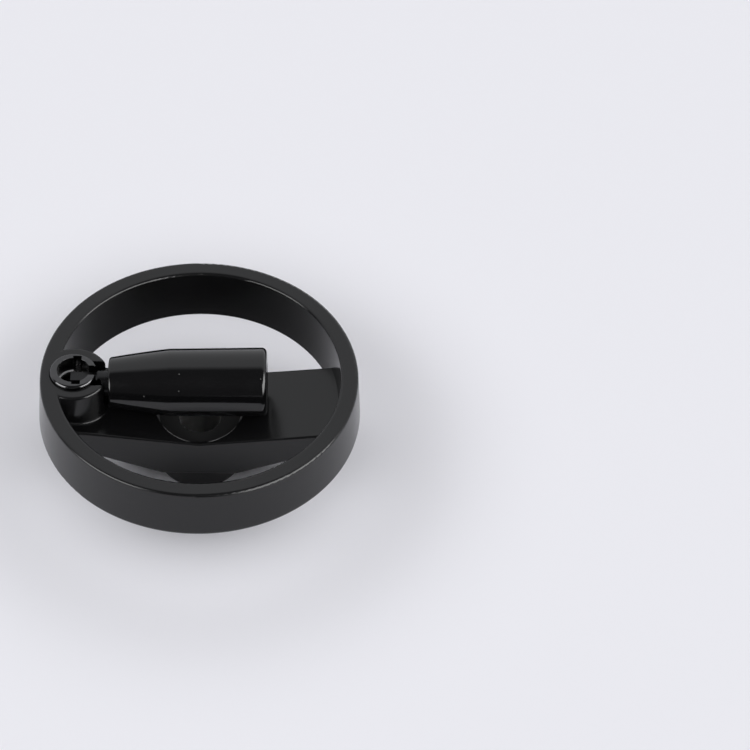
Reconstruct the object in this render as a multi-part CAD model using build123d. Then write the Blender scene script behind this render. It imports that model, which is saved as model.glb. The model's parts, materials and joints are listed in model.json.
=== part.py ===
from build123d import *
import os
from math import radians, sqrt, tan

# Machine handwheel, 125 mm across, with a revolving handle that folds down inside the rim.
# Millimetres. The origin is the middle of the hub's lower face, and the shaft bore runs along Z.
# +Z points to the handle's side. X runs from the handle's boss through the hub.

# Rim
wheel_d = 125.0            # greatest diameter, at the rim's lower edge
wheel_h = 47.4             # from the hub's lower face to the rim's upper face
rim_h = 21.9
rim_face_w = 6.6           # width of the upper face, between its rounded edges' corners
outer_draft = 3.3          # degrees
inner_draft = 3.5
rim_top_round = 1.2
rim_foot_round = 1.8       # outer lower edge
rim_inner_foot_round = 0.5

# Web: one straight two-armed bar across the rim, dished towards the hub
web_w = 35.8
web_draft = 3.0
web_sink = 13.2            # from the rim's upper face down to the web, at the rim
web_dish = 7.2             # further fall at the middle
web_edge_round = 0.8

# Hub
hub_d = 32.8               # at the hub's foot
hub_draft = 3.5
hub_foot_h = 11.3          # round part that stands below the web
web_root_in = 1.9          # where the web's underside meets the hub, inside its round wall
hub_foot_chamfer = 0.5
shaft_bore_d = 16.0
bore_chamfer = 0.6
recess_lip = 0.6           # what is left of the web beside the round recess
recess_step_w = 1.5        # sloping step around the recess
recess_step_h = 0.75
recess_depth = 3.3         # below the middle of the dished web

# Boss for the handle, and the sleeve pressed into it
boss_in = 14.0             # from the wheel's greatest diameter in to the boss's axis
boss_d = 27.0
boss_foot_round = 0.9
boss_floor_t = 3.0         # metal left below the sleeve
sleeve_d = 18.2
sleeve_bore_d = 12.6
sleeve_lower_d = 10.5      # bore below the ledge
sleeve_proud = 1.75
sleeve_edge_round = 1.2
ledge_above_pin = 0.3      # ledge in the bore, above the pin's axis
press_gap = 0.01           # drawn gap of pieces that are pressed together

# Pivot
pivot_offset = 1.3         # pin's axis, from the sleeve's axis towards the hub
pivot_depth = 5.5          # pin's axis, below the boss's upper face
pin_d = 3.0
pin_end_gap = 0.6          # pin's end, inside the sleeve's outer wall
pin_chamfer = 0.25
pin_running_gap = 0.05
groove_gap = 0.15          # each side of the pin, in the sleeve's upright grooves
groove_depth = 1.1

# Spindle. The folded handle doesn't lie quite level: its free end comes to rest close above the web.
handle_rise = 1.5          # degrees
tongue_t = 4.4
tongue_low = 2.4           # from the pin's axis down to the tongue's flat, and back to its end
tongue_up = 3.8            # from the pin's axis up to the tongue's upper edge
tongue_gap = 0.2           # each side of the tongue in the sleeve's slot
tongue_floor_gap = 0.4
eye_r = 2.6                # round of the tongue's lower corner, about the pin
neck_d = 10.0
neck_side_gap = 1.3        # each side of the neck in the boss's slot
neck_floor_gap = 0.6
swing_gap = 0.35           # between the swinging neck and the sleeve's upper corner
shaft_d = 6.5
shaft_chamfer = 0.4
shaft_end_land = 1.4       # beyond the snap ring's groove

# Grip
grip_start = 12.5          # from the pin's axis to the grip's small end
grip_l = 60.8
grip_small_d = 19.5
grip_taper_l = 23.1
grip_taper_d = 26.1
grip_d = 26.7              # at the free end
grip_small_round = 1.0
grip_taper_swell = 0.15    # how far the tapered part bulges
grip_end_round = 2.1
grip_bore_gap = 0.08
neck_in = 1.5              # how far the neck reaches into the grip
neck_bore_gap = 0.15
shoulder_gap = 0.1
end_bore_d = 15.0
end_bore_l = 8.0
cap_t = 2.2
cap_sink = 0.3
cap_edge_chamfer = 0.3

# Ring and washer that hold the grip on the spindle
washer_d = 13.0
washer_t = 0.8
washer_gap = 0.1
ring_d = 10.4
ring_t = 1.0
ring_gap = 0.05
ring_groove = 0.7          # depth of the groove in the shaft
ring_open_w = 3.0

# Detent under the tongue
plunger_d = 8.0
plunger_gap = 0.05         # around the plunger, and below the tongue's eye
plunger_round = 0.5
guide_below_slot = 0.5
guide_l = 3.0
collar_d = 9.9
collar_t = 1.5
stub_d = 6.0
stub_l = 1.6
spring_d = 9.4
spring_wire_d = 0.8
spring_turns = 2.5
plug_t = 1.5

# Places worked out from the sizes above
rim_low_z = wheel_h - rim_h
web_top_z = wheel_h - web_sink
recess_floor_z = web_top_z - web_dish - recess_depth
rim_outer_top_r = wheel_d / 2 - rim_h * tan(radians(outer_draft))
rim_inner_top_r = rim_outer_top_r - rim_face_w
rim_inner_low_r = rim_inner_top_r - rim_h * tan(radians(inner_draft))
boss_x = boss_in - wheel_d / 2
pivot_x = boss_x + pivot_offset
pivot_z = wheel_h - pivot_depth
sleeve_top_z = wheel_h + sleeve_proud
sleeve_low_z = rim_low_z + boss_floor_t
ledge_z = pivot_z + ledge_above_pin
slot_floor_z = pivot_z - tongue_low - tongue_floor_gap
guide_top_z = slot_floor_z - guide_below_slot
guide_low_z = guide_top_z - guide_l
collar_low_z = guide_low_z - plunger_gap - collar_t
plug_top_z = sleeve_low_z + plug_t
grip_x = pivot_x + grip_start
grip_end_x = grip_x + grip_l
end_bore_x = grip_end_x - end_bore_l
washer_x = end_bore_x + washer_gap
ring_x = washer_x + washer_t + ring_gap
neck_end_x = grip_x + neck_in
shaft_end_x = ring_x + ring_t + shaft_end_land

long = 3 * wheel_d         # longer than the whole part, for cuts that go right through
mostly = 0.5               # a direction's share along an axis, above which it counts as lying that way
near = 0.02                # how far apart two places are still taken as one


def outline(points):
    """Closed flat face in the plane of symmetry, from (X or radius, Z) points."""
    return Plane.XZ * make_face(Polyline(points, close=True).edges())


def outer_corner(face, top=True):
    """The corner of a turned profile that lies furthest out, at its upper or lower end."""
    return face.vertices().group_by(Axis.Z)[-1 if top else 0].sort_by(Axis.X)[-1]


def rod(radius, start, end, x=0):
    """Upright cylinder between two heights."""
    return Pos(x, 0, start) * Cylinder(radius, end - start, align=(Align.CENTER, Align.CENTER, Align.MIN))


def rod_x(radius, start, end, z):
    """Cylinder along X between two places, at height z."""
    lie = Pos(start, 0, z) * Rot(0, 90, 0)
    return lie * Cylinder(radius, end - start, align=(Align.CENTER, Align.CENTER, Align.MIN))


def rod_y(radius, length, x, z):
    """Cylinder along Y, centred on the plane of symmetry."""
    return Pos(x, 0, z) * Rot(90, 0, 0) * Cylinder(radius, length)


def block(x0, x1, width, z0, z1):
    """Box between two places and two heights, centred on the plane of symmetry."""
    middle = Pos((x0 + x1) / 2, 0, (z0 + z1) / 2)
    return middle * Box(x1 - x0, width, z1 - z0)


def rim():
    points = [(rim_inner_low_r, rim_low_z), (wheel_d / 2, rim_low_z),
              (rim_outer_top_r, wheel_h), (rim_inner_top_r, wheel_h)]
    face = outline(points)
    face = fillet(outer_corner(face, top=False), rim_foot_round)
    inner_corner = face.vertices().group_by(Axis.Z)[0].sort_by(Axis.X)[0]
    return revolve(fillet(inner_corner, rim_inner_foot_round), Axis.Z)


def web():
    reach = (rim_inner_low_r + rim_outer_top_r) / 2
    root_x = hub_d / 2 - web_root_in
    side = [(-reach, rim_low_z), (-rim_inner_low_r, rim_low_z), (-root_x, hub_foot_h),
            (root_x, hub_foot_h), (rim_inner_low_r, rim_low_z), (reach, rim_low_z),
            (reach, web_top_z), (0, web_top_z - web_dish), (-reach, web_top_z)]
    profile = extrude(outline(side), web_w)
    height = web_top_z - hub_foot_h
    low_w = web_w + 2 * height * tan(radians(web_draft))
    plan = Pos(0, 0, hub_foot_h) * Rectangle(2 * reach, low_w)
    half = profile & extrude(plan, height, taper=web_draft)
    for facing in (1, -1):
        broad = half.faces().filter_by(lambda f: f.normal_at().Z * facing > mostly)
        edges = [e for f in broad for e in f.edges() if abs((e @ 0.5).Y) > near]
        half = fillet([e for e in edges if abs((e % 0.5).X) > mostly], web_edge_round)
    return half + mirror(half, about=Plane.XZ)


def hub():
    low_r = hub_d / 2
    top_r = low_r + hub_foot_h * tan(radians(hub_draft))
    c = hub_foot_chamfer
    points = [(0, 0), (low_r - c, 0), (low_r, c), (top_r, hub_foot_h),
              (top_r, recess_floor_z), (0, recess_floor_z)]
    return revolve(outline(points), Axis.Z)


def hub_cuts():
    edge_r = web_w / 2 - recess_lip
    step_r = edge_r - recess_step_w
    middle_z = web_top_z - web_dish
    bore_r = shaft_bore_d / 2
    c = bore_chamfer
    points = [(0, -c), (bore_r + 2 * c, -c), (bore_r, c), (bore_r, recess_floor_z - c),
              (bore_r + c, recess_floor_z), (step_r, recess_floor_z),
              (step_r, middle_z - recess_step_h), (edge_r, middle_z), (edge_r, wheel_h), (0, wheel_h)]
    return revolve(outline(points), Axis.Z)


def on_boss_foot(edge):
    """True for the edge where the boss's round wall meets the web's upper face."""
    reach = [sqrt(((edge @ k).X - boss_x) ** 2 + (edge @ k).Y ** 2) for k in (0, 0.5, 1)]
    round_wall = all(abs(r - boss_d / 2) < near for r in reach)
    on_web = web_top_z - web_dish < (edge @ 0.5).Z < web_top_z + near
    return round_wall and on_web and abs((edge % 0.5).Z) < mostly


def handwheel_casting():
    boss = rod(boss_d / 2, rim_low_z + boss_floor_t, wheel_h, boss_x)
    boss &= rod(rim_inner_top_r + rim_face_w / 2, 0, wheel_h)
    cast = rim() + boss + web() + hub()
    top = cast.faces().sort_by(Axis.Z)[-1]
    cast = fillet(top.edges(), rim_top_round)
    cast = fillet(cast.edges().filter_by(on_boss_foot), boss_foot_round)
    bore_r = sleeve_d / 2 + press_gap
    slot_w = neck_d + 2 * neck_side_gap
    slot_floor = pivot_z - neck_d / 2 - neck_floor_gap
    cast -= hub_cuts()
    cast -= rod(bore_r, sleeve_low_z, long, boss_x)
    cast -= block(boss_x, boss_x + boss_d, slot_w, slot_floor, long)
    return cast


def pivot_sleeve():
    top = sleeve_top_z
    upper_r = sleeve_bore_d / 2
    lower_r = sleeve_lower_d / 2
    guide_r = plunger_d / 2 + plunger_gap
    outer_r = sleeve_d / 2
    points = [(outer_r, sleeve_low_z), (outer_r, top), (upper_r, top), (upper_r, ledge_z),
              (lower_r, ledge_z), (lower_r, guide_top_z), (guide_r, guide_top_z),
              (guide_r, guide_low_z), (lower_r, guide_low_z), (lower_r, sleeve_low_z)]
    face = outline(points)
    face = fillet(outer_corner(face), sleeve_edge_round)
    body = Pos(boss_x, 0, 0) * revolve(face, Axis.Z)
    slot_w = tongue_t + 2 * tongue_gap
    body -= block(boss_x, boss_x + sleeve_d, slot_w, slot_floor_z, long)
    groove_r = pin_d / 2 + groove_gap
    groove_l = sleeve_bore_d + 2 * groove_depth
    body -= block(pivot_x - groove_r, pivot_x + groove_r, groove_l, pivot_z, long)
    body -= rod_y(groove_r, groove_l, pivot_x, pivot_z)
    body -= rod_y(pin_d / 2 + press_gap, long, pivot_x, pivot_z)
    return body


def pivot_pin():
    chord = 2 * sqrt((sleeve_d / 2) ** 2 - (pivot_offset + pin_d / 2) ** 2)
    pin = rod_y(pin_d / 2, chord - 2 * pin_end_gap, pivot_x, pivot_z)
    return chamfer(pin.edges(), pin_chamfer)


def sleeve_plug():
    return rod(sleeve_lower_d / 2 - press_gap, sleeve_low_z, plug_top_z, boss_x)


def detent_plunger():
    top = pivot_z - eye_r - plunger_gap
    stem_r = plunger_d / 2
    stub_r = stub_d / 2
    collar_top = guide_low_z - plunger_gap
    points = [(0, collar_low_z - stub_l), (stub_r, collar_low_z - stub_l), (stub_r, collar_low_z),
              (collar_d / 2, collar_low_z), (collar_d / 2, collar_top), (stem_r, collar_top),
              (stem_r, top), (0, top)]
    face = outline(points)
    face = fillet(outer_corner(face), plunger_round)
    return Pos(boss_x, 0, 0) * revolve(face, Axis.Z)


def detent_spring():
    wire_r = spring_wire_d / 2
    coil_r = spring_d / 2 - wire_r
    low = plug_top_z + wire_r
    height = collar_low_z - wire_r - low
    path = Pos(boss_x, 0, low) * Helix(pitch=height / spring_turns, height=height, radius=coil_r)
    section = Plane(path @ 0, z_dir=path % 0) * Circle(wire_r)
    return sweep(section, path=path, is_frenet=True)


def swing_clearance():
    """Space that the sleeve's upper corner needs while the neck swings past it."""
    slot_half = tongue_t / 2 + tongue_gap
    corner_x = sqrt((sleeve_d / 2) ** 2 - slot_half ** 2) - pivot_offset - sleeve_edge_round
    corner_z = sleeve_top_z - pivot_z - sleeve_edge_round
    radius = sqrt(corner_x ** 2 + corner_z ** 2) + sleeve_edge_round + swing_gap
    around = rod_y(radius, neck_d, pivot_x, pivot_z)
    return around - block(pivot_x - radius, pivot_x + radius, tongue_t, pivot_z - radius, pivot_z + radius)


def folded(piece):
    """A piece of the handle, turned about the pin from level to where it rests."""
    return Pos(pivot_x, 0, pivot_z) * Rot(0, -handle_rise, 0) * Pos(-pivot_x, 0, -pivot_z) * piece


def tongue():
    low = pivot_z - tongue_low
    end_x = pivot_x - tongue_low
    heel = rod_y(eye_r, tongue_t, pivot_x, pivot_z) & block(end_x, pivot_x, tongue_t, low, pivot_z)
    lower = block(pivot_x, neck_end_x, tongue_t, low, pivot_z)
    upper = block(end_x, neck_end_x, tongue_t, pivot_z, pivot_z + tongue_up)
    return heel + lower + upper


def spindle():
    outside_x = boss_x + sleeve_d / 2 + tongue_gap
    neck = rod_x(neck_d / 2, outside_x, neck_end_x, pivot_z) - swing_clearance()
    shaft = rod_x(shaft_d / 2, grip_x, shaft_end_x, pivot_z)
    shaft = chamfer(shaft.edges().group_by(Axis.X)[-1], shaft_chamfer)
    groove_r = shaft_d / 2 - ring_groove
    groove = rod_x(shaft_d, ring_x, ring_x + ring_t, pivot_z)
    groove -= rod_x(groove_r, neck_end_x, shaft_end_x, pivot_z)
    whole = tongue() + neck + shaft - groove
    return folded(whole - rod_y(pin_d / 2 + pin_running_gap, neck_d, pivot_x, pivot_z))


def thrust_washer():
    hole_r = shaft_d / 2 + grip_bore_gap
    washer = rod_x(washer_d / 2, washer_x, washer_x + washer_t, pivot_z)
    return folded(washer - rod_x(hole_r, grip_x, grip_end_x, pivot_z))


def retaining_ring():
    groove_r = shaft_d / 2 - ring_groove + press_gap
    ring = rod_x(ring_d / 2, ring_x + press_gap, ring_x + ring_t - press_gap, pivot_z)
    ring -= rod_x(groove_r, grip_x, grip_end_x, pivot_z)
    return folded(ring - block(grip_x, grip_end_x, ring_open_w, pivot_z, pivot_z + ring_d))


def grip():
    small_r = grip_small_d / 2
    taper_r = grip_taper_d / 2
    end_r = grip_d / 2
    shaft_r = shaft_d / 2 + grip_bore_gap
    neck_r = neck_d / 2 + neck_bore_gap
    neck_l = neck_in + shoulder_gap
    end_bore_r = end_bore_d / 2
    taper = ThreePointArc((small_r, 0), ((small_r + taper_r) / 2 + grip_taper_swell, grip_taper_l / 2),
                          (taper_r, grip_taper_l))
    rest = Polyline((taper_r, grip_taper_l), (end_r, grip_l), (end_bore_r, grip_l),
                    (end_bore_r, grip_l - end_bore_l), (shaft_r, grip_l - end_bore_l),
                    (shaft_r, neck_l), (neck_r, neck_l), (neck_r, 0), (small_r, 0))
    face = Plane.XZ * make_face(taper.edges() + rest.edges())
    face = fillet(outer_corner(face), grip_end_round)
    face = fillet(outer_corner(face, top=False), grip_small_round)
    return folded(Pos(grip_x, 0, pivot_z) * Rot(0, 90, 0) * revolve(face, Axis.Z))


def grip_end_cap():
    outside = grip_end_x - cap_sink
    cap = rod_x(end_bore_d / 2 - press_gap, outside - cap_t, outside, pivot_z)
    return folded(chamfer(cap.edges().group_by(Axis.X)[-1], cap_edge_chamfer))


pieces = {
    "handwheel_casting": handwheel_casting,
    "pivot_sleeve": pivot_sleeve,
    "pivot_pin": pivot_pin,
    "sleeve_plug": sleeve_plug,
    "detent_plunger": detent_plunger,
    "detent_spring": detent_spring,
    "spindle": spindle,
    "thrust_washer": thrust_washer,
    "retaining_ring": retaining_ring,
    "grip": grip,
    "grip_end_cap": grip_end_cap,
}

os.makedirs("parts", exist_ok=True)
for name, make in pieces.items():
    piece = make()
    solids = piece.solids()
    shape = solids[0] if len(solids) == 1 else Compound(solids)
    shape.label = name
    export_step(shape, f"parts/{name}.step")
    print(name, len(solids), round(shape.volume, 1))
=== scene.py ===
import bpy
import json
from math import cos, radians, sin
from mathutils import Matrix, Vector


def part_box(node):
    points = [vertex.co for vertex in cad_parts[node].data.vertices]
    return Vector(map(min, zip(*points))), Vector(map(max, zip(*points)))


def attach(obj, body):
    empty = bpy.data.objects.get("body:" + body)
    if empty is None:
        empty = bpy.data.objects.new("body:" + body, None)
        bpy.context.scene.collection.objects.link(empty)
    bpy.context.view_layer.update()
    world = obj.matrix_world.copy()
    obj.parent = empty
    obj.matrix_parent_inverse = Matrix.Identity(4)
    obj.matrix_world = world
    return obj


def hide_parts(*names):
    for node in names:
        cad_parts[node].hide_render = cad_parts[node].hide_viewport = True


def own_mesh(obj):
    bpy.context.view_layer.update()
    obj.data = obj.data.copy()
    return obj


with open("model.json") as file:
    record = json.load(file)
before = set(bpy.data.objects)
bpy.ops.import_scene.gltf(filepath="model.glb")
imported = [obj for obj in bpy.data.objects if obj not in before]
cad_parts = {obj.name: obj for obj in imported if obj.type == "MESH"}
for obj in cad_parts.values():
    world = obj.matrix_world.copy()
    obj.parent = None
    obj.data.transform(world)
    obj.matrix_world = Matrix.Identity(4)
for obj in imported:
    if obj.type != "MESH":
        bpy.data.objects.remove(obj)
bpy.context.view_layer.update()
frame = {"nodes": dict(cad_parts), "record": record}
nodes = frame["nodes"]
scene = bpy.context.scene
print("frame loaded:", len(nodes), "CAD nodes")

# places that the finishes and the camera follow, read from the frame; metres
joints = {row["name"]: row for row in frame["record"]["behaviour"]["joints"]}
mounts = {row["name"]: row for row in frame["record"]["mounts"]}
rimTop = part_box("handwheel_casting")[1].z
sleeveLow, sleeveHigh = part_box("pivot_sleeve")
sleeveAxis = (sleeveLow.x + sleeveHigh.x) / 2
sleeveRadius = (sleeveHigh.y - sleeveLow.y) / 2
pinHeight = joints["handle_fold"]["pos_m"][2]
recessFloor = mounts["hub_recess_floor"]["pos_m"][2]
boreRadius = mounts["shaft_bore"]["dims"]["r_mm"] / 1000
print("sleeve's axis at", round(sleeveAxis, 4), "and recess floor at", round(recessFloor, 4))


def newMaterial(name):
    material = bpy.data.materials.new(name)
    material.use_nodes = True
    shader = material.node_tree.nodes["Principled BSDF"]
    return material, material.node_tree, shader


def objectCoords(tree):
    coords = tree.nodes.new("ShaderNodeTexCoord")
    return coords.outputs["Object"]


def separate(tree, vector):
    node = tree.nodes.new("ShaderNodeSeparateXYZ")
    tree.links.new(vector, node.inputs["Vector"])
    return node.outputs


def noise(tree, vector, pattern):
    # a pattern is the noise's scale and its detail
    node = tree.nodes.new("ShaderNodeTexNoise")
    scale, detail = pattern
    node.inputs["Scale"].default_value = scale
    node.inputs["Detail"].default_value = detail
    tree.links.new(vector, node.inputs["Vector"])
    return node.outputs["Fac"]


def remap(tree, value, fromLow, fromHigh, toLow, toHigh):
    node = tree.nodes.new("ShaderNodeMapRange")
    node.inputs["From Min"].default_value = fromLow
    node.inputs["From Max"].default_value = fromHigh
    node.inputs["To Min"].default_value = toLow
    node.inputs["To Max"].default_value = toHigh
    tree.links.new(value, node.inputs["Value"])
    return node.outputs["Result"]


def mathNode(tree, kind, first, second=None):
    node = tree.nodes.new("ShaderNodeMath")
    node.operation = kind
    for place, value in enumerate((first, second)):
        if value is None:
            continue
        if isinstance(value, (int, float)):
            node.inputs[place].default_value = value
        else:
            tree.links.new(value, node.inputs[place])
    return node.outputs["Value"]


def product(tree, first, *others):
    # masks are 0 or 1, so their product holds where all of them do
    result = first
    for other in others:
        result = mathNode(tree, "MULTIPLY", result, other)
    return result


def under(tree, value, limit):
    return mathNode(tree, "LESS_THAN", value, limit)


def over(tree, value, limit):
    return mathNode(tree, "GREATER_THAN", value, limit)


def between(tree, value, low, high):
    return product(tree, over(tree, value, low), under(tree, value, high))


def opposite(tree, mask):
    return mathNode(tree, "SUBTRACT", 1.0, mask)


def apart(tree, value, target):
    return mathNode(tree, "ABSOLUTE", mathNode(tree, "SUBTRACT", value, target))


def awayFrom(tree, x, y, axisX):
    # distance from an upright axis in the plane of symmetry
    across = mathNode(tree, "SUBTRACT", x, axisX)
    squares = mathNode(tree, "ADD", product(tree, across, across), product(tree, y, y))
    return mathNode(tree, "SQRT", squares)


def atLeast(tree, value, mask, level):
    # raises a value to the level where the mask holds
    return mathNode(tree, "MAXIMUM", value, product(tree, mask, level))


def mixColors(tree, factor, low, high):
    # a Mix node's colours are its inputs 6 and 7, and its output 2
    node = tree.nodes.new("ShaderNodeMix")
    node.data_type = "RGBA"
    tree.links.new(factor, node.inputs["Factor"])
    for socket, value in ((node.inputs[6], low), (node.inputs[7], high)):
        if isinstance(value, tuple):
            socket.default_value = (*value, 1)
        else:
            tree.links.new(value, socket)
    return node.outputs[2]


def shade(color, factor):
    return tuple(factor * channel for channel in color)


def bump(tree, height, strength, depth, normal=None):
    node = tree.nodes.new("ShaderNodeBump")
    node.inputs["Strength"].default_value = strength
    node.inputs["Distance"].default_value = depth
    tree.links.new(height, node.inputs["Height"])
    if normal is not None:
        tree.links.new(normal, node.inputs["Normal"])
    return node.outputs["Normal"]


bevelSamples = 6  # rays that each shading point spends on a rounded edge


def softEdges(tree, radius):
    # rounds edges for the light; the radius is a number or comes from another node
    node = tree.nodes.new("ShaderNodeBevel")
    node.samples = bevelSamples
    if isinstance(radius, float):
        node.inputs["Radius"].default_value = radius
    else:
        tree.links.new(radius, node.inputs["Radius"])
    return node.outputs["Normal"]


# powder coat of the casting, with what the lathe left bare; metres
coat = {
    "color": (0.0040, 0.0040, 0.0042),
    "paler": (0.0060, 0.0060, 0.0062),
    "specular": 0.42,
    "rough": (0.17, 0.23),
    "cloud": (60.0, 4),
    "cloudRange": (0.35, 0.65),
    "peel": (900.0, 2),
    "peelHeight": 0.00002,
    "peelStrength": 0.12,
    "edge": 0.0005,  # radius of its rounded edges
    # bare bore, painted brighter on the left as painted light and darker to the right as painted shade
    "boreMargin": 0.0004,
    "boreMetal": (0.66, 0.66, 0.65),
    "boreShaded": (0.30, 0.30, 0.295),
    "boreShade": (-0.6, 0.2),
    "boreRough": 0.38,
    # matt floor of the hub's recess, its colour darker than the coat as painted shade; heights are from
    # that floor
    "recessRadius": 0.0160,
    "recessHeights": (-0.0005, 0.0006),
    "recessColor": (0.0015, 0.0015, 0.0015),
    "recessRough": 0.75,
    # painted highlights: pale glints on the two edges of the recess; heights are from its floor
    "ringRadii": (0.01602, 0.01728),
    "ringHalfWidth": 0.00018,
    "ringHeights": (0.0021, 0.0063),
    "ringShine": (0.0030, 0.0055, 0.0115, 0.0145),
    "ringColor": (0.32, 0.32, 0.315),
    # where the hub's foot runs on from the web's side with no edge
    "footTop": 0.0113,
    "footBand": 0.0010,
    "footRadii": (0.0165, 0.0185),
    # dark seam with a small chamfer round the pressed-in sleeve
    "seamWidth": 0.0002,
    "seamBelow": 0.0002,
    "seamColor": (0.0008, 0.0008, 0.0008),
    "seamRough": 0.30,
}


# painted highlights where the recess's edges would catch the lamps
def ringGlints(tree, radius, x, z):
    s = coat
    first, second = (apart(tree, radius, edge) for edge in s["ringRadii"])
    near = under(tree, mathNode(tree, "MINIMUM", first, second), s["ringHalfWidth"])
    low, high = s["ringHeights"]
    level = between(tree, z, recessFloor + low, recessFloor + high)
    # the painted glints show to the left and right of the middle, and fade on both sides of that
    aside = mathNode(tree, "ABSOLUTE", x)
    starts, full, fades, ends = s["ringShine"]
    rising = remap(tree, aside, starts, full, 0, 1)
    falling = remap(tree, aside, fades, ends, 1, 0)
    return product(tree, near, level, rising, falling)


def castEdges(tree, radius, z):
    s = coat
    level = under(tree, apart(tree, z, s["footTop"]), s["footBand"])
    atFoot = product(tree, level, between(tree, radius, *s["footRadii"]))
    return softEdges(tree, remap(tree, atFoot, 0, 1, s["edge"], 0))


def castCoat():
    s = coat
    material, tree, shader = newMaterial("castCoat")
    where = objectCoords(tree)
    cloud = noise(tree, where, s["cloud"])
    peel = noise(tree, where, s["peel"])
    x, y, z = separate(tree, where)
    radius = awayFrom(tree, x, y, 0)
    fromSleeve = awayFrom(tree, x, y, sleeveAxis)

    # the parts of the surface that have a finish of their own
    bareRadius = boreRadius + s["boreMargin"]
    inBore = product(tree, under(tree, radius, bareRadius), under(tree, z, recessFloor - s["boreMargin"]))
    low, high = s["recessHeights"]
    onFloor = between(tree, z, recessFloor + low, recessFloor + high)
    inRecess = product(tree, under(tree, radius, s["recessRadius"]), onFloor, opposite(tree, inBore))
    onRingGlint = ringGlints(tree, radius, x, z)
    besideSleeve = over(tree, z, sleeveLow.z - s["seamBelow"])
    seamRadius = sleeveRadius + s["seamWidth"]
    inSeam = product(tree, under(tree, fromSleeve, seamRadius), besideSleeve)

    paint = mixColors(tree, cloud, s["color"], s["paler"])
    paint = mixColors(tree, inSeam, paint, s["seamColor"])
    # painted shade on the recess floor
    paint = mixColors(tree, inRecess, paint, s["recessColor"])
    # painted highlights along the recess's edges
    paint = mixColors(tree, onRingGlint, paint, s["ringColor"])
    # painted light and shade across the bare bore: the lit copy on the left, the shaded copy to the right
    left, right = (share * bareRadius for share in s["boreShade"])
    metal = mixColors(tree, remap(tree, x, left, right, 0, 1), s["boreMetal"], s["boreShaded"])
    tree.links.new(mixColors(tree, inBore, paint, metal), shader.inputs["Base Color"])
    tree.links.new(inBore, shader.inputs["Metallic"])
    shader.inputs["Specular IOR Level"].default_value = s["specular"]

    rough = remap(tree, cloud, *s["cloudRange"], *s["rough"])
    rough = atLeast(tree, rough, inSeam, s["seamRough"])
    rough = atLeast(tree, rough, inRecess, s["recessRough"])
    rough = atLeast(tree, rough, inBore, s["boreRough"])
    tree.links.new(rough, shader.inputs["Roughness"])

    slope = product(tree, remap(tree, fromSleeve, sleeveRadius, seamRadius, 0, 1), besideSleeve)
    normal = bump(tree, slope, 1.0, s["seamWidth"], castEdges(tree, radius, z))
    normal = bump(tree, peel, s["peelStrength"], s["peelHeight"], normal)
    tree.links.new(normal, shader.inputs["Normal"])
    return material


# steels of the pivot, the spindle and the inner pieces; edge is the radius of their rounded edges
steels = {
    "blackened_steel": {"color": (0.086, 0.086, 0.088), "rough": 0.13, "grain": (700.0, 3), "edge": 0.0003},
    "spindle_steel": {"color": (0.036, 0.036, 0.037), "rough": 0.30, "grain": (500.0, 3), "edge": 0.0003},
    "bright_steel": {"color": (0.30, 0.295, 0.29), "rough": 0.28, "grain": (900.0, 3), "edge": 0.0002},
    "spring_steel": {"color": (0.36, 0.35, 0.34), "rough": 0.32, "grain": (1200.0, 3), "edge": 0.0001},
}

# how far the grain takes a steel's colour and roughness down and up
steelSpread = {"grainRange": (0.3, 0.7), "least": 0.85, "most": 1.15}

# inside of the blackened sleeve: bare, with a matt pale ledge as a painted highlight, which starts at the
# cross pin's axis
sleeveBore = {
    "radius": 0.00634,
    "color": (0.10, 0.10, 0.10),
    "rough": 0.24,
    "ledgeRadius": 0.0057,
    "ledgeHeight": 0.0006,
    "ledgeColor": (0.42, 0.42, 0.42),
}


def dressSleeveBore(tree, where, finish, rough):
    s = sleeveBore
    x, y, z = separate(tree, where)
    radius = awayFrom(tree, x, y, sleeveAxis)
    bare = under(tree, radius, s["radius"])
    level = between(tree, z, pinHeight, pinHeight + s["ledgeHeight"])
    onLedge = product(tree, level, over(tree, radius, s["ledgeRadius"]), bare)
    finish = mixColors(tree, bare, finish, s["color"])
    # painted highlight on the ledge
    finish = mixColors(tree, onLedge, finish, s["ledgeColor"])
    return finish, atLeast(tree, rough, bare, s["rough"]), opposite(tree, onLedge)


def steel(name):
    s = steels[name]
    least, most = steelSpread["least"], steelSpread["most"]
    material, tree, shader = newMaterial(name)
    where = objectCoords(tree)
    grain = noise(tree, where, s["grain"])
    finish = mixColors(tree, grain, shade(s["color"], least), shade(s["color"], most))
    rough = remap(tree, grain, *steelSpread["grainRange"], least * s["rough"], most * s["rough"])
    if name == "blackened_steel":
        finish, rough, metallic = dressSleeveBore(tree, where, finish, rough)
        tree.links.new(metallic, shader.inputs["Metallic"])
    else:
        shader.inputs["Metallic"].default_value = 1.0
    tree.links.new(finish, shader.inputs["Base Color"])
    tree.links.new(rough, shader.inputs["Roughness"])
    tree.links.new(softEdges(tree, s["edge"]), shader.inputs["Normal"])
    return material


# moulded grip, polished black, with a little dust
gripLook = {
    "color": (0.0045, 0.0045, 0.0048),
    "rough": (0.07, 0.13),
    "cloud": (90.0, 3),
    "cloudRange": (0.3, 0.7),
    "dust": (0.12, 0.12, 0.115),
    "dustScale": 170.0,
    "dustSize": 0.055,
    "dustCore": 0.6,
}


def gripPlastic():
    s = gripLook
    material, tree, shader = newMaterial("gripPlastic")
    where = objectCoords(tree)
    cloud = noise(tree, where, s["cloud"])
    specks = tree.nodes.new("ShaderNodeTexVoronoi")
    specks.inputs["Scale"].default_value = s["dustScale"]
    tree.links.new(where, specks.inputs["Vector"])
    dusty = remap(tree, specks.outputs["Distance"], s["dustSize"], s["dustSize"] * s["dustCore"], 0, 1)
    tree.links.new(mixColors(tree, dusty, s["color"], s["dust"]), shader.inputs["Base Color"])
    tree.links.new(remap(tree, cloud, *s["cloudRange"], *s["rough"]), shader.inputs["Roughness"])
    return material


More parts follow.
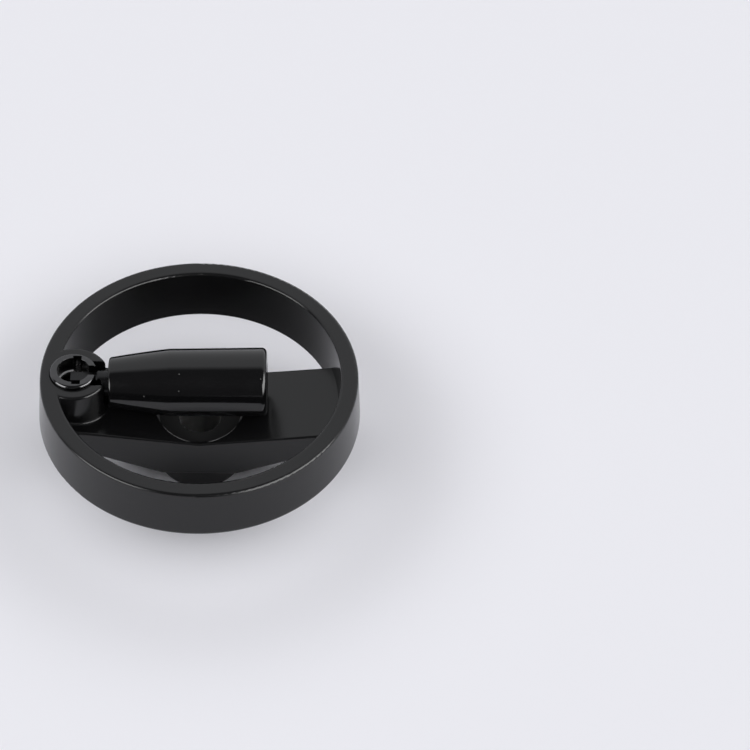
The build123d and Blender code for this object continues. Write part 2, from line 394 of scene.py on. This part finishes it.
# end cap of the grip, matt
capLook = {
    "color": (0.006, 0.006, 0.006),
    "paler": (0.009, 0.009, 0.009),
    "rough": 0.42,
    "grain": (1500.0, 3),
    "grainHeight": 0.00002,
    "grainStrength": 0.2,
}


def capPlastic():
    s = capLook
    material, tree, shader = newMaterial("capPlastic")
    grain = noise(tree, objectCoords(tree), s["grain"])
    tree.links.new(mixColors(tree, grain, s["color"], s["paler"]), shader.inputs["Base Color"])
    shader.inputs["Roughness"].default_value = s["rough"]
    tree.links.new(bump(tree, grain, s["grainStrength"], s["grainHeight"]), shader.inputs["Normal"])
    return material


def dressNodes():
    finishes = {"cast_coat": castCoat(), "grip_plastic": gripPlastic(), "cap_plastic": capPlastic()}
    for name in steels:
        finishes[name] = steel(name)
    for piece in nodes.values():
        for place in piece.material_slots:
            place.material = finishes[place.material.name]
    print("materials on", len(nodes), "nodes")


# the coil under the plunger: a copy of the spring, merged and smoothed, on the wheel's body; metres and
# degrees
coil = {
    "merge": 0.000001,
    "smoothAngle": 40,
}


def makeCoil():
    s = coil
    piece = bpy.data.objects.new("detent_coil", nodes["detent_spring"].data.copy())
    scene.collection.objects.link(piece)
    bpy.ops.object.select_all(action="DESELECT")
    piece.select_set(True)
    bpy.context.view_layer.objects.active = piece
    bpy.ops.object.mode_set(mode="EDIT")
    bpy.ops.mesh.select_all(action="SELECT")
    bpy.ops.mesh.remove_doubles(threshold=s["merge"])
    bpy.ops.object.mode_set(mode="OBJECT")
    bpy.ops.object.shade_smooth_by_angle(angle=radians(s["smoothAngle"]))
    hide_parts("detent_spring")
    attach(piece, "wheel")
    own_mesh(piece)


# viewpoint of the photograph: lens and sensor in millimetres, places in metres, angles in degrees
viewpoint = {
    "lens": 144.0,
    "sensor": 36.0,
    "aside": 0.0675,
    "behind": 0.7841,
    "overRim": 0.8483,
    "pitch": 47.1,
    "roll": 2.7,
    "turn": -2.6,
    "nearest": 0.01,
    "farthest": 20,
}


def placeCamera():
    s = viewpoint
    data = bpy.data.cameras.new("photoCamera")
    data.lens = s["lens"]
    data.sensor_width = s["sensor"]
    data.clip_start = s["nearest"]
    data.clip_end = s["farthest"]
    camera = bpy.data.objects.new("photoCamera", data)
    scene.collection.objects.link(camera)
    turn = Matrix.Rotation(radians(s["turn"]), 4, "Z")
    place = Matrix.Translation((s["aside"], -s["behind"], rimTop + s["overRim"]))
    tilt = Matrix.Rotation(radians(90 - s["pitch"]), 4, "X")
    roll = Matrix.Rotation(radians(s["roll"]), 4, "Z")
    camera.matrix_world = turn @ place @ tilt @ roll
    scene.camera = camera
    print("camera placed")


# azimuth 0 is the camera's side, positive to its right; sizes in metres, radiance 1 is white
softboxes = {
    "keyRight": {"azimuth": 66, "elevation": 20, "away": 1.3, "wide": 1.45, "high": 0.75, "radiance": 4.8},
    "keyLeft": {"azimuth": -54, "elevation": 20, "away": 1.3, "wide": 1.00, "high": 0.75, "radiance": 4.0},
}
softboxWatts = 4  # per square metre, for a radiance of 1


def makeSoftboxes():
    for name, s in softboxes.items():
        data = bpy.data.lights.new(name, "AREA")
        data.shape = "RECTANGLE"
        data.size = s["wide"]
        data.size_y = s["high"]
        data.energy = softboxWatts * s["wide"] * s["high"] * s["radiance"]
        lamp = bpy.data.objects.new(name, data)
        scene.collection.objects.link(lamp)
        azimuth = radians(s["azimuth"] + viewpoint["turn"] - 90)
        lift = radians(s["elevation"])
        direction = Vector((cos(azimuth) * cos(lift), sin(azimuth) * cos(lift), sin(lift)))
        lamp.location = direction * s["away"]
        lamp.rotation_euler = direction.to_track_quat("Z", "Y").to_euler()
        lamp.visible_camera = False
        lamp.visible_diffuse = False
    print("softboxes:", len(softboxes))


# what the object mirrors in front and behind, and the soft light from a raised band all round
room = {
    "back": (0.80, 0.81, 0.83),
    "front": (0.075, 0.075, 0.078),
    "turn": (-0.02, 0.22),
    "fill": (0.97, 0.97, 1.0),
    "fillStrength": 3.05,
    "fillRise": (0.44, 0.54),
    "fillFall": (0.72, 0.88),
    "fillTurn": (-0.2, 0.5),
    "fillBehind": 0.5,
}


def newBackground(tree, color):
    node = tree.nodes.new("ShaderNodeBackground")
    node.inputs["Color"].default_value = (*color, 1)
    return node


def chooseShader(tree, factor, first, second):
    node = tree.nodes.new("ShaderNodeMixShader")
    tree.links.new(factor, node.inputs["Fac"])
    tree.links.new(first, node.inputs[1])
    tree.links.new(second, node.inputs[2])
    return node.outputs["Shader"]


def makeWorld():
    s = room
    world = bpy.data.worlds.new("room")
    world.use_nodes = True
    scene.world = world
    tree = world.node_tree
    coords = tree.nodes.new("ShaderNodeTexCoord")
    x, y, z = separate(tree, coords.outputs["Generated"])

    mirrored = tree.nodes["Background"]
    behind = remap(tree, y, *s["turn"], 0, 1)
    tree.links.new(mixColors(tree, behind, s["front"], s["back"]), mirrored.inputs["Color"])

    # the fill is weaker from behind
    fill = newBackground(tree, s["fill"])
    rise = remap(tree, z, *s["fillRise"], 0, 1)
    fall = remap(tree, z, *s["fillFall"], 1, 0)
    strength = remap(tree, y, *s["fillTurn"], s["fillStrength"], s["fillStrength"] * s["fillBehind"])
    tree.links.new(product(tree, rise, fall, strength), fill.inputs["Strength"])

    # the camera sees plain pale, and gloss sees the mirrored colours
    pale = newBackground(tree, s["back"])
    rays = tree.nodes.new("ShaderNodeLightPath")
    glossy = mathNode(tree, "MAXIMUM", rays.outputs["Is Glossy Ray"], rays.outputs["Is Transmission Ray"])
    surface = chooseShader(tree, glossy, fill.outputs["Background"], mirrored.outputs["Background"])
    surface = chooseShader(tree, rays.outputs["Is Camera Ray"], surface, pale.outputs["Background"])
    tree.links.new(surface, tree.nodes["World Output"].inputs["Surface"])
    print("room made")


# pale floor, just under the lowest face of the wheel
floorLook = {
    "reach": 3.0,
    "drop": 0.00005,
    "color": (0.88, 0.88, 0.905),
    "cloud": (3.0, 2),
    "cloudShade": 0.995,
    "rough": 0.9,
    "specular": 0.1,
}


def makeFloor():
    s = floorLook
    bpy.ops.object.select_all(action="DESELECT")
    bpy.ops.mesh.primitive_plane_add(size=2 * s["reach"], location=(0, 0, -s["drop"]))
    floor = bpy.context.object
    floor.name = "floor"
    material, tree, shader = newMaterial("paleFloor")
    cloud = noise(tree, objectCoords(tree), s["cloud"])
    shaded = shade(s["color"], s["cloudShade"])
    tree.links.new(mixColors(tree, cloud, shaded, s["color"]), shader.inputs["Base Color"])
    shader.inputs["Roughness"].default_value = s["rough"]
    shader.inputs["Specular IOR Level"].default_value = s["specular"]
    floor.data.materials.append(material)
    print("floor laid")


dressNodes()
makeCoil()
makeFloor()
makeWorld()
makeSoftboxes()
placeCamera()
scene.view_settings.view_transform = "Standard"
